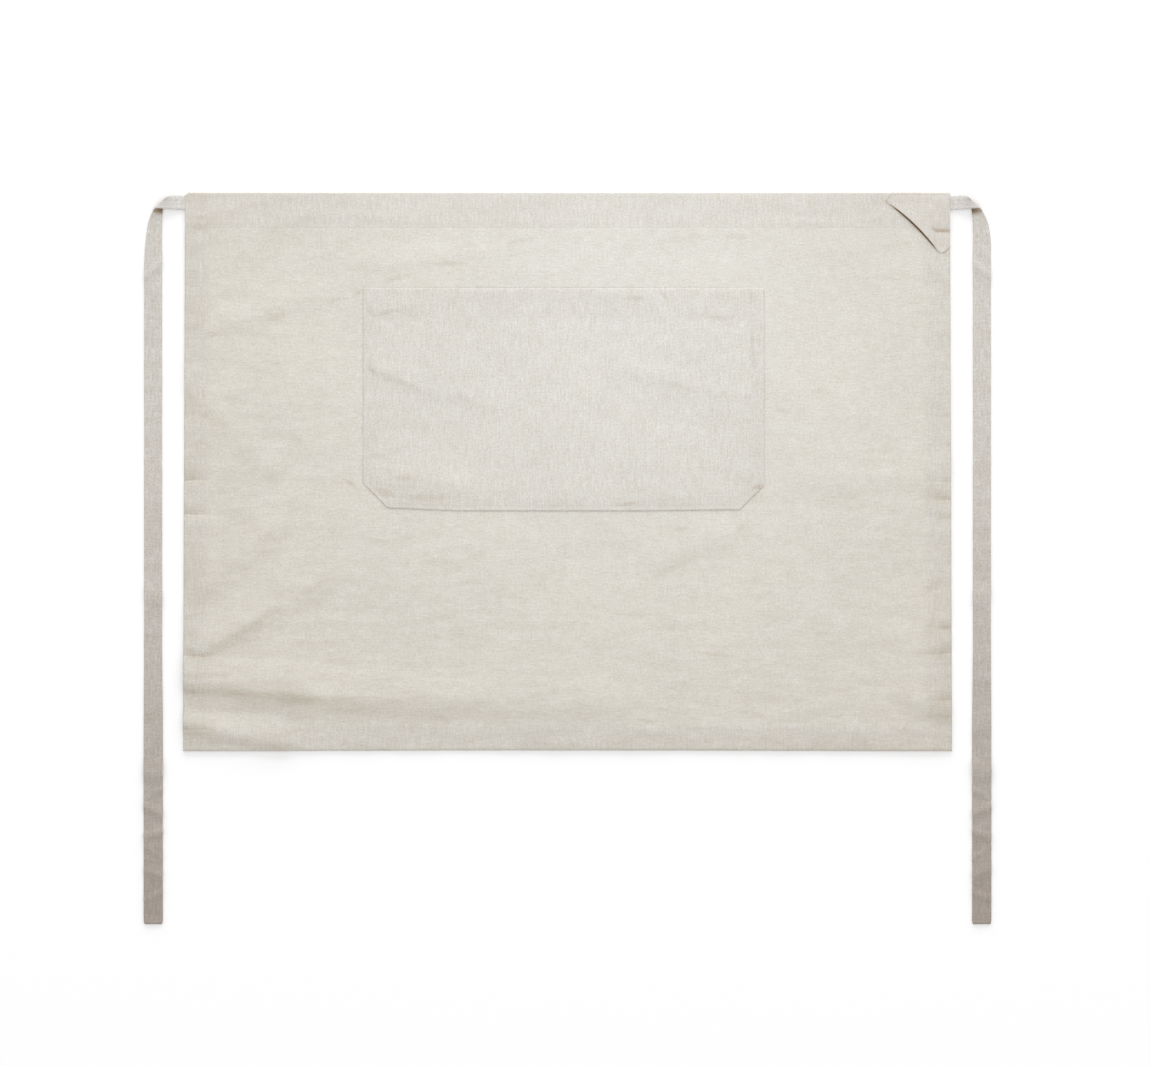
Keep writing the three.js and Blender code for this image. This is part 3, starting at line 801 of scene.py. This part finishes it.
def pocket_foot(x):
    """The pocket's lower edge: two slanting corners, and a slight rise towards each."""
    past_left = pocket_low[0] + pocket_corner - x
    past_right = x - pocket_high[0] + pocket_corner
    slant = pocket_foot_slant * near(x, pocket_low[0], pocket_low[0] + 0.115)
    slant += pocket_foot_slant_right * smooth_step(x, pocket_high[0] - 0.15, pocket_high[0])
    return pocket_low[1] + max(past_left, past_right, 0.0) + slant


def pocket_edge_distance(x, y):
    """Distance to the nearest sewn edge: the sides, the slanting corners and the foot."""
    to_side = min(x - pocket_low[0], pocket_high[0] - x)
    past_corner = max(pocket_corner - to_side, 0.0)
    to_foot = y - (pocket_foot(x) - past_corner)
    to_corner = (to_side + to_foot - pocket_corner) / math.sqrt(2)
    return max(min(to_side, to_foot, to_corner), 0.0)


def pocket_place(x, down):
    """down runs from the mouth, 0, to the foot, 1."""
    y = pocket_high[1] + down * (pocket_foot(x) - pocket_high[1])
    across_share = (x - pocket_middle) / (pocket_width / 2)
    edge = pocket_edge_distance(x, y)
    to_mouth = pocket_high[1] - y
    held = smooth_step(edge, 0.0, 0.02)
    fold, flank = ridge(pocket_folds, x - pocket_low[0], to_mouth, pocket_width, pocket_height)
    in_hem = near(to_mouth, pocket_hem, pocket_hem + 0.003)
    in_turning = near(edge, pocket_turning, pocket_turning + 0.003)
    layers = max(in_hem, in_turning)
    level = panel_place(x, y)[0].z + pocket_gap + pocket_wall
    level += pocket_fullness * (1.0 - across_share**4) * (1.0 - down**2)
    level += fold * held
    level += (0.0003 + crumple(x, y, 0.09, 0.06, 0.0004, 12.4)) * held
    level += crumple(x, y, 0.045, 0.016, 0.00015, 15.9) * held
    # Edge stitches, the rounded turned edges, the mouth's hem and its row of stitches
    level += groove(edge - pocket_edge_row, depth=0.0001)
    level += pucker(x + y, edge - pocket_edge_row, 6.0, depth=0.00015, reach=0.006, wave=0.011)
    level -= pocket_rounding * near(edge, 0.0, 0.0014)
    level -= pocket_rounding * near(to_mouth, 0.0, 0.0040)
    level += groove(to_mouth - pocket_hem, depth=0.00005)
    level += pucker(x, to_mouth - pocket_hem, 7.0, depth=0.00015, reach=0.008)
    # Painted shade on the folds' lower sides, and a thin brown line of painted shadow along the sewn
    # edge at the foot, less at the left side
    at_foot = near(y - pocket_low[1], pocket_corner - 0.001, pocket_corner + 0.002)
    at_left = pocket_left_shadow_tint if x < pocket_middle else 0.0
    edge_shadow = pocket_foot_shadow_tint * at_foot + at_left * (1.0 - at_foot)
    return Vector((x, y, level)), layers, (
        0.05 * flank * held + edge_shadow * near(edge, 0.0005, 0.0011))


pocket_across = lines(
    (pocket_low[0], pocket_low[0] + 0.007, 0.0009),
    (pocket_low[0] + 0.007, pocket_low[0] + pocket_corner, 0.0023),
    (pocket_low[0] + pocket_corner, pocket_high[0] - pocket_corner, 0.0027),
    (pocket_high[0] - pocket_corner, pocket_high[0] - 0.007, 0.0023),
    (pocket_high[0] - 0.007, pocket_high[0], 0.0009),
)
pocket_down = [value / pocket_height for value in lines(
    (0.0, 0.004, 0.0008),
    (0.004, pocket_height - 0.008, 0.0026),
    (pocket_height - 0.008, pocket_height, 0.0008),
)]
pocket = cloth_mesh("linen_pocket", pocket_across, pocket_down, pocket_place)
thicken(pocket, pocket_wall, thin=pocket_thin)
pocket.data.materials.append(linen(
    "pocket_linen", pocket_single, pocket_layered, speckle=0.31, warp_slubs=0.26, weft_slubs=0.14,
    creases=pocket_creases))
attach(pocket, "root")
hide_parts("pocket")


def pocket_at(x, y):
    """The pocket's upper face at a place given by x and y."""
    return pocket_place(x, (pocket_high[1] - y) / (pocket_high[1] - pocket_foot(x)))


left_row = pocket_low[0] + pocket_edge_row
right_row = pocket_high[0] - pocket_edge_row
corner_turn = pocket_corner + pocket_edge_row * (math.sqrt(2) - 1.0)
corner_run = (corner_turn - pocket_edge_row) * math.sqrt(2)
half_root = math.sqrt(0.5)


def corner_row(row_x, inward):
    """The row down one slanting corner, from the end of a side row towards the pocket's middle."""
    start_y = corner_turn + pocket_foot(row_x) - pocket_corner + pocket_edge_row
    return on_cloth(pocket_at, lambda d: row_x + inward * d * half_root,
                    lambda d: start_y - d * half_root)


pocket_stitches = stitches("pocket_stitches", [
    *((on_cloth(pocket_at, lambda d, x=x: x, lambda d: pocket_low[1] + corner_turn + d),
       pocket_height - corner_turn - 0.002) for x in (left_row, right_row)),
    (corner_row(left_row, 1.0), corner_run),
    (corner_row(right_row, -1.0), corner_run),
    (on_cloth(pocket_at, lambda d: pocket_low[0] + corner_turn + d,
              lambda d: pocket_foot(pocket_low[0] + corner_turn + d) + pocket_edge_row),
     pocket_width - 2 * corner_turn),
    (on_cloth(pocket_at, lambda d: left_row + d, lambda d: pocket_high[1] - pocket_hem),
     right_row - left_row),
])

# The towel loop: a small doubled patch sewn along the band's top and the side hem round the upper
# right corner. Its slanting edge is left open, with deep shadow behind it.
loop_wall = 0.0005
loop_gap = 0.00015
loop_gape = 0.00045
loop_bow = 0.0023
loop_lip = 0.0022
loop_lip_drop = 0.0004
loop_rounding = 0.36
loop_round_share = 0.08
loop_seam_shade_tint = 0.60
loop_side_shade_tint = 0.35
loop_top_shade_tint = 0.30
loop_colour = (0.680, 0.652, 0.602)
loop_corner = Vector((half_width, band_high[1], 0.0))
loop_top_end = loop_corner + Vector((-0.0602, -0.0001, 0.0))
loop_side_end = loop_corner + Vector((0.0, -0.0578, 0.0))
loop_free_top = loop_corner + Vector((-0.0672, -0.0094, 0.0))
loop_free_side = loop_corner + Vector((-0.0100, -0.0652, 0.0))
loop_inward = Vector((0.69, 0.72, 0.0))


def on_apron(x, y):
    """The height at which the loop's upper face lies on the band and the panel."""
    if y > band_low[1]:
        beneath = band_place(x, min(y - band_low[1], band_front))[0]
    else:
        beneath = panel_place(x, y)[0]
    return beneath.z + loop_gap + loop_wall


def loop_place(t, s):
    """t runs along the slanting edge from top to side, s from the sewn edges out to it."""
    if t < 0.5:
        sewn = loop_top_end.lerp(loop_corner, 2 * t)
    else:
        sewn = loop_corner.lerp(loop_side_end, 2 * t - 1)
    wave = math.sin(math.pi * t)
    free = loop_free_top.lerp(loop_free_side, t) + loop_inward * loop_bow * wave
    # Its lower corner is rounded
    past = max(t - 1.0 + loop_round_share, 0.0) / loop_round_share
    free = sewn.lerp(free, 1.0 - loop_rounding * (1.0 - math.sqrt(max(1.0 - past**2, 0.0))))
    place = sewn.lerp(free, s)
    level = on_apron(place.x, place.y) + loop_gape * wave**1.3 * s**2.2
    to_side = loop_corner.x - place.x
    to_top = loop_corner.y - place.y
    edge = min(to_side, to_top)
    level += groove(edge - 0.002, depth=0.00018)
    level -= 0.0005 * near(edge, 0.0, 0.0014)
    level += (0.0001 + crumple(place.x, place.y, 0.03, 0.02, 0.0002, 21.0)) * wave
    # A crease where the loop passes over the band's seam beside the corner, with painted shade in it
    seam = place.y - band_low[1] + 0.0038 - 0.0030 * smooth_step(to_side, 0.013, 0.021)
    beside = near(to_side, 0.014, 0.023)
    level -= 0.0004 * bell(seam, 0.0022) * beside
    painted_shade = loop_seam_shade_tint * bell(seam, 0.0016) * beside
    # The slanting edge turns down, and its lip is painted dark brown as the shadow of the gap under it.
    # The two short edges show faintly as thin lines of painted shade
    to_free = (1.0 - s) * (free - sewn).length
    lip_reach = loop_lip * (0.45 + 0.55 * wave)
    lip = near(to_free, lip_reach - 0.0006, lip_reach)
    level -= loop_lip_drop * near(to_free, 0.0, 0.0020) * wave
    painted_shade += lip * (0.25 + 0.71 * smooth_step(wave, 0.10, 0.55))
    run = (loop_free_side - loop_free_top).length
    painted_shade += loop_side_shade_tint * near((1.0 - t) * run, 0.0005, 0.0012)
    painted_shade += loop_top_shade_tint * near(t * run, 0.0005, 0.0012)
    place.x, _ = trued(place.x, band_low[1])
    return Vector((place.x, place.y, level)), 1.0, painted_shade


loop = cloth_mesh("linen_towel_loop",
                  lines((0.0, 0.02, 0.005), (0.02, 0.90, 1 / 60), (0.90, 1.0, 0.005)),
                  lines((0.0, 0.94, 1 / 30), (0.94, 1.0, 0.006)), loop_place)
loop.data.flip_normals()
thicken(loop, loop_wall)
loop.data.materials.append(linen(
    "loop_linen", loop_colour, loop_colour, speckle=0.30, warp_slubs=0.24, weft_slubs=0.14))
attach(loop, "root")
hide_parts("towel_loop")


def loop_row(distance):
    """The row of stitches beside the loop's two sewn edges."""
    inset = 0.0020
    top_run = 0.0600
    if distance < top_run:
        place = loop_corner + Vector((-0.0620 + distance, -inset, 0.0))
    else:
        place = loop_corner + Vector((-inset, -inset - (distance - top_run), 0.0))
    place.z = on_apron(place.x, place.y) + 0.00002
    place.x, _ = trued(place.x, band_low[1])
    return place


loop_stitches = stitches("loop_stitches", [(loop_row, 0.1150)])

# The ties: two narrow tapes of folded linen, caught in the band's ends. Each rolls over once just
# beside the band and then lies straight down beside the panel, creased here and there.
tie_tuck = 0.018
tie_wall = 0.0012
tie_roll_length = 0.058
tie_outer = 0.0410
tie_outer_foot = 0.0415
tie_inner = 0.02275
tie_inner_foot = 0.02190
tie_half_width = 0.0095
tie_roll_edge = 0.0172
tie_reach = band_high[1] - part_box("tie_right")[0][1]
tie_spread_from = 0.46
tie_spread_to = 0.57
tie_roll_fullness = 0.0011
tie_edge_rounding = 0.0002
tie_end_rounding = 0.10
tie_shadow_tint = 0.88
tie_right_tint = 0.045
tape_neck_colour = (0.692, 0.681, 0.658)
tape_top_colour = (0.650, 0.630, 0.592)
tape_foot_colour = (0.393, 0.348, 0.312)

# The roll beside the band: both edges of the tape in millimetres out from the band's end and down
# from its top edge, the height in millimetres and the angle that the tape has rolled over
tie_roll = [
    (0.0, 3.7, 0.0, 18.0, 1.05, 0.0),
    (6.0, 3.6, 8.5, 17.7, 1.9, 0.0),
    (11.5, 3.7, 16.5, 17.4, 3.0, 4.0),
    (14.8, 4.3, 23.0, 17.1, 4.0, 16.0),
    (17.0, 5.4, 27.0, 17.0, 4.6, 42.0),
    (18.4, 7.2, 29.6, 17.5, 4.3, 84.0),
    (19.3, 9.8, 31.3, 18.9, 3.1, 128.0),
    (20.3, 13.3, 33.0, 21.3, 2.1, 160.0),
    (21.3, 17.8, 35.0, 24.8, 1.4, 176.0),
    (22.1, 23.3, 37.1, 29.6, 1.05, 180.0),
    (22.6, 30.5, 38.9, 36.2, 0.85, 180.0),
    (22.75, 40.0, 40.1, 43.5, 0.75, 180.0),
    (22.75, 49.5, 40.8, 51.0, 0.7, 180.0),
    (22.75, 58.0, 41.0, 58.0, 0.7, 180.0),
]
# Creases across the hanging tape: place as a share of the tie's length, rise in millimetres,
# spread in millimetres and slant
tie_creases = [
    (0.107, 1.0, 6.0, 0.35), (0.553, 1.1, 9.0, -0.20), (0.792, 1.9, 10.0, 0.10),
    (0.822, 0.8, 3.0, 0.30), (0.845, 1.5, 5.0, -0.25), (0.878, 1.4, 4.5, 0.20),
    (0.902, 0.7, 2.5, -0.30), (0.930, 1.1, 5.0, -0.15), (0.962, 0.8, 3.0, 0.25),
]


def curve_value(rows, place):
    """A smooth curve through the rows of a table, at a place counted in rows."""
    last = len(rows) - 1
    index = min(int(place), last - 1)
    share = place - index
    before, start, end, after = (
        rows[min(max(index + step, 0), last)] for step in (-1, 0, 1, 2))
    return [
        0.5 * (2 * b + (c - a) * share + (2 * a - 5 * b + 4 * c - d) * share**2
               + (3 * b - a - 3 * c + d) * share**3)
        for a, b, c, d in zip(before, start, end, after)
    ]


def tie_line(distance):
    """Both edges of the tape in metres, its height and its angle, by the distance from its root."""
    if distance <= 0.0:
        root = tie_roll[0]
        return [distance, root[1] / 1000, distance, root[3] / 1000, root[4] / 1000, 0.0]
    if distance < tie_roll_length:
        row = curve_value(tie_roll, distance / tie_roll_length * (len(tie_roll) - 1))
        return [value / 1000 for value in row[:5]] + [min(max(row[5], 0.0), 180.0)]
    low = smooth_step(distance, tie_spread_from, tie_spread_to)
    inner = tie_inner + (tie_inner_foot - tie_inner) * low
    outer = tie_outer + (tie_outer_foot - tie_outer) * low
    return [inner, distance, outer, distance, tie_roll[-1][4] / 1000, 180.0]


def tie_place_on(side):
    """The shape of one tie. side is 1 for the right tie and -1 for the left one."""

    def tie_place(across, distance):
        inner_x, inner_y, outer_x, outer_y, level, angle = tie_line(distance)
        if side < 0:
            # The left tie comes out of its roll a little narrower
            inner_x += 0.0008 * bell(distance - 0.031, 0.010)
            outer_x -= 0.0015 * bell(distance - 0.049, 0.014)
        inner = Vector((side * (half_width + inner_x), band_high[1] - inner_y, 0.0))
        outer = Vector((side * (half_width + outer_x), band_high[1] - outer_y, 0.0))
        # The cut end's corners are a little rounded
        end = 1.0 - tie_end_rounding * smooth_step(distance, tie_reach - 0.003, tie_reach)
        share = across * end / (2 * tie_half_width) + 0.5
        place = inner.lerp(outer, share)
        width = (outer - inner).normalized()
        outward = width.cross(Vector((0.0, 0.0, 1.0))) * -side
        turn = math.radians(angle)
        facing = Vector((0.0, 0.0, math.cos(turn))) + outward * math.sin(turn)
        # The roll is fullest across its middle
        place += outward * tie_roll_fullness * math.sin(turn) * (1.0 - (2 * share - 1) ** 2)
        # The tape's edges are rounded, and its face is a little uneven
        to_edge = tie_half_width - abs(across)
        face = tie_edge_rounding * near(to_edge, 0.0, 0.0018)
        flat_share = smooth_step(distance, tie_roll_length * 0.7, tie_roll_length * 1.2)
        uneven = crumple(distance, across + side, 0.03, 0.02, 0.0003, 31.0)
        lift = 0.0
        for at, rise, spread, slant in tie_creases:
            off = distance - at * tie_reach - slant * across * 2
            lift = max(lift, rise * 0.001 * bell(off * 1000, spread))
        place.z = max(level + (lift + uneven) * flat_share, tie_wall / 2)
        # The tape that comes out from under the roll lies in deep brown shadow
        drop = band_high[1] - place.y - tie_roll_edge
        under = near(drop, 0.0028, 0.0080 - 0.0050 * share)
        under *= 1.0 - (0.35 if side < 0 else 0.55) * share
        hidden = smooth_step(distance, 0.021, 0.024)
        painted_shade = tie_shadow_tint * under * hidden
        if side > 0:
            # The right tie is a little darker near its top
            painted_shade += tie_right_tint * near(distance, 0.35, 0.52)
        # The neck beside the band is paler than the hanging tape
        past_neck = smooth_step(distance, 0.017, 0.027)
        # After the roll the tape's first face looks down, so its wall is measured from there
        place += facing * (tie_wall / 2 - face * math.cos(turn))
        return place, past_neck, min(painted_shade, tie_shadow_tint)

    return tie_place


tape_falloff_top = 0.20
tape_falloff_foot = -0.36


def tape_light_falloff(add, place, colour):
    """Painted light falloff: the tapes are painted darker and browner towards their free ends."""
    along = add("SeparateXYZ", place, out=1)
    share = add("MapRange", along, tape_falloff_top, tape_falloff_foot, 0.0, 1.0)
    ratio = tuple(foot / top for foot, top in zip(tape_foot_colour, tape_top_colour))
    curved = add("Math", share, 1.5, operation="POWER")
    tint = mix_colour(add, curved, (1.0, 1.0, 1.0, 1.0), (*ratio, 1.0))
    return mix_colour(add, 1.0, colour, tint, "MULTIPLY")


tape_linen = linen("tape_linen", tape_neck_colour, tape_top_colour, speckle=0.40,
                   warp_slubs=0.36, weft_slubs=0.22, place="UV", painted_falloff=tape_light_falloff)
tie_across = edged_lines(tie_half_width, 0.003, 0.001, 0.0022)
tie_down = lines(
    (-tie_tuck, 0.0, 0.006),
    (0.0, tie_roll_length, 0.0008),
    (tie_roll_length, tie_reach, 0.0021),
)
for side, name in ((1, "tie_right"), (-1, "tie_left")):
    tie_place = tie_place_on(side)
    tie = cloth_mesh("linen_" + name, tie_across, tie_down, tie_place)
    if side < 0:
        tie.data.flip_normals()
    thicken(tie, tie_wall)
    tie.data.materials.append(tape_linen)
    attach(tie, "root")
    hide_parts(name)
